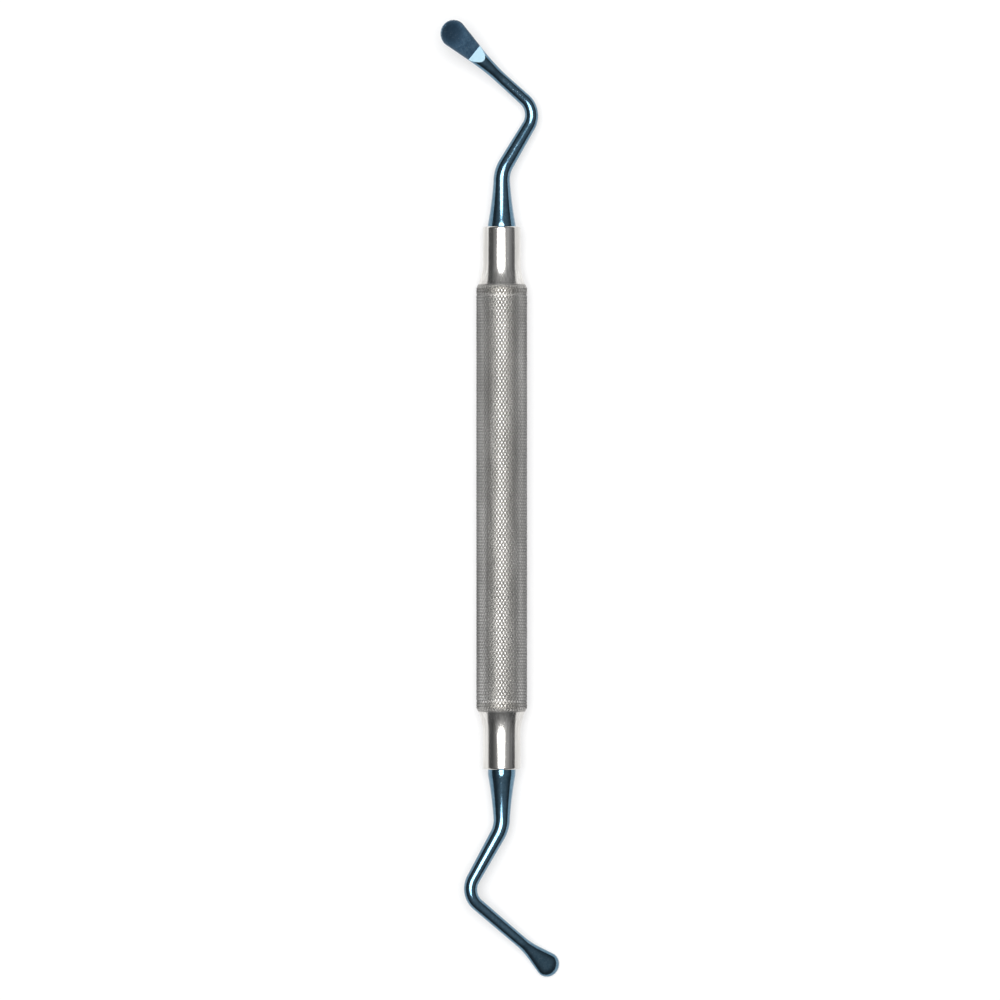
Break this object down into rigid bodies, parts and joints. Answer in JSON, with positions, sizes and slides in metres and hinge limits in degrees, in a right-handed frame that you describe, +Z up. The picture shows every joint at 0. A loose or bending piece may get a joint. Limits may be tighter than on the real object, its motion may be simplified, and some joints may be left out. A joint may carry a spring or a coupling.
{
  "type": "surgical curette",
  "caption": "Double-ended hand curette with a knurled hollow grip, bell-shaped end sockets and bent tips that end in ground spoons with a serrated nose.",
  "frame": {"origin": "on the table the curette lies on, under the middle of the grip's axis", "axes": "+Y along the grip towards the tip whose spoon shows its face, +X across it, towards the side that the other spoon reaches, +Z up from the table"},
  "size_m": [0.0221, 0.1782, 0.0106],
  "materials": {
    "grip_steel": "knurled stainless steel",
    "socket_steel": "polished stainless steel with fine lengthwise lines",
    "tip_coating": "polished steel with a dark blue hard coating"
  },
  "bodies": {
    "root": {"grip_tube": "grip_steel", "upper_socket": "socket_steel", "lower_socket": "socket_steel", "upper_tip": "tip_coating", "lower_tip": "tip_coating"}
  },
  "joints": []
}
